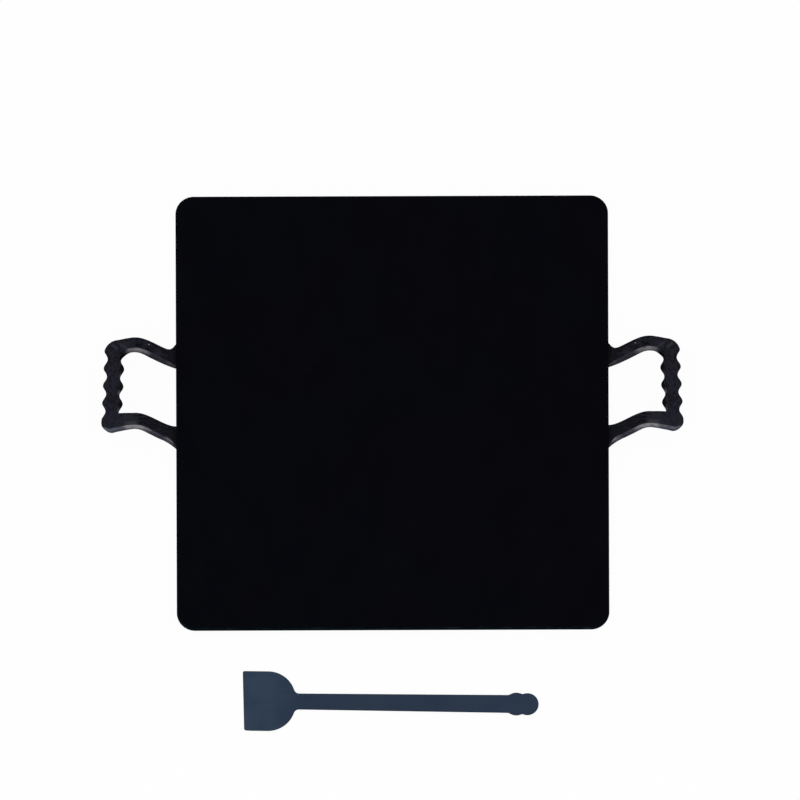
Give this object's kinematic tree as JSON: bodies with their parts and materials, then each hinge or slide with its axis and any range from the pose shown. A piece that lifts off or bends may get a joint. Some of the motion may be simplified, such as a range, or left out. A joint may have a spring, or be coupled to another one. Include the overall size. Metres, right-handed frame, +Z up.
{
  "type": "camp griddle plate",
  "caption": "Square flat steel griddle plate with rounded corners, a bent beaded handle welded to each side, and a loose flat scraper for cleaning it.",
  "frame": {"origin": "middle of the plate's flat underside, which rests on the stove or table", "axes": "+X to the cook's right through the right handle, +Y away from the cook, +Z up through the cooking surface"},
  "size_m": [0.5388, 0.5099, 0.0257],
  "materials": {
    "seasoned_steel": "black seasoned satin",
    "handle_steel": "dark satin with grinding marks",
    "weld_metal": "rippled, heat tinted",
    "blued_steel": "blue-grey satin"
  },
  "bodies": {
    "griddle": {"griddle_plate": "seasoned_steel", "left_handle": "handle_steel", "right_handle": "handle_steel", "left_rear_top_weld": "weld_metal", "left_rear_root_weld": "weld_metal", "left_front_top_weld": "weld_metal", "left_front_root_weld": "weld_metal", "right_rear_top_weld": "weld_metal", "right_rear_root_weld": "weld_metal", "right_front_top_weld": "weld_metal", "right_front_root_weld": "weld_metal"},
    "loose_scraper": {"scraper": "blued_steel"}
  },
  "joints": [
    {"name": "scraper_lift", "type": "slide", "parent": "griddle", "child": "loose_scraper", "axis": [0, 0, 1], "range_m": [0, 0.2]}
  ]
}
